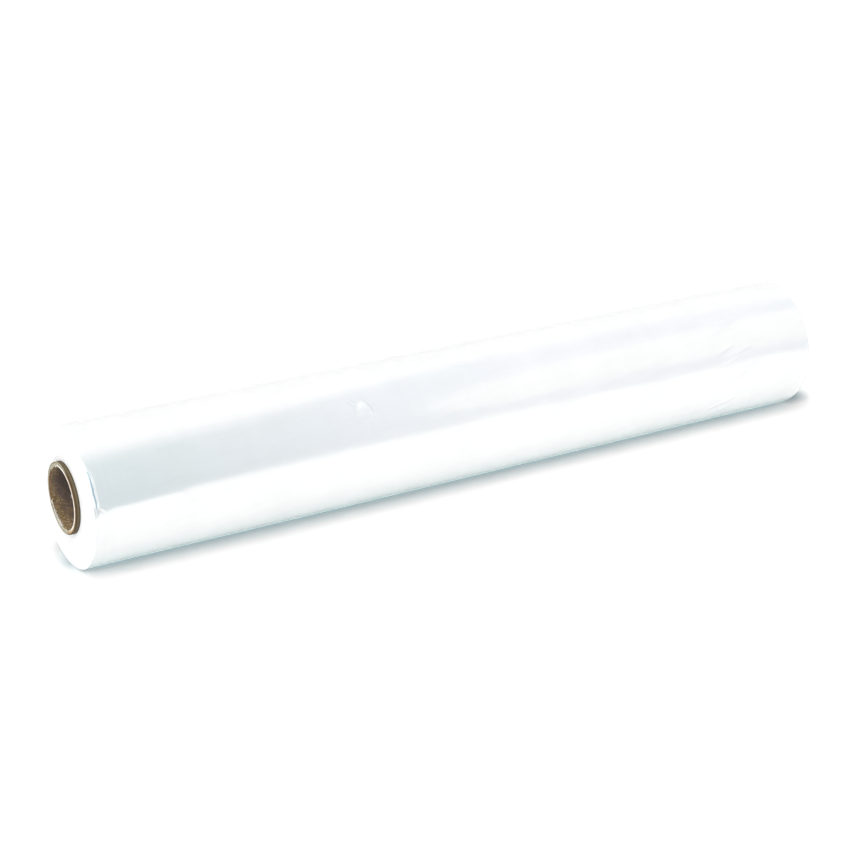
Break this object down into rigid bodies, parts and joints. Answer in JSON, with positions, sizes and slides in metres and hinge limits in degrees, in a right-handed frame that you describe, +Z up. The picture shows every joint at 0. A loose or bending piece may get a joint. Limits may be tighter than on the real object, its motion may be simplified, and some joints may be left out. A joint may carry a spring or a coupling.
{
  "type": "roll of cling film",
  "caption": "Roll of clear cling film wound on a brown paper core that stands a little out of both ends.",
  "frame": {"origin": "on the surface that the roll rests on, under the middle of the roll, at the middle of its flat spot", "axes": "+X along the roll's axis, +Z up; the film's free edge faces +Y"},
  "size_m": [0.455, 0.0746, 0.0738],
  "materials": {
    "core_board": "matte brown paper board, lighter on its cut edge",
    "film": "glossy clear film, milky white where many turns lie together"
  },
  "bodies": {
    "root": {"core": "core_board", "film": "film"}
  },
  "joints": []
}
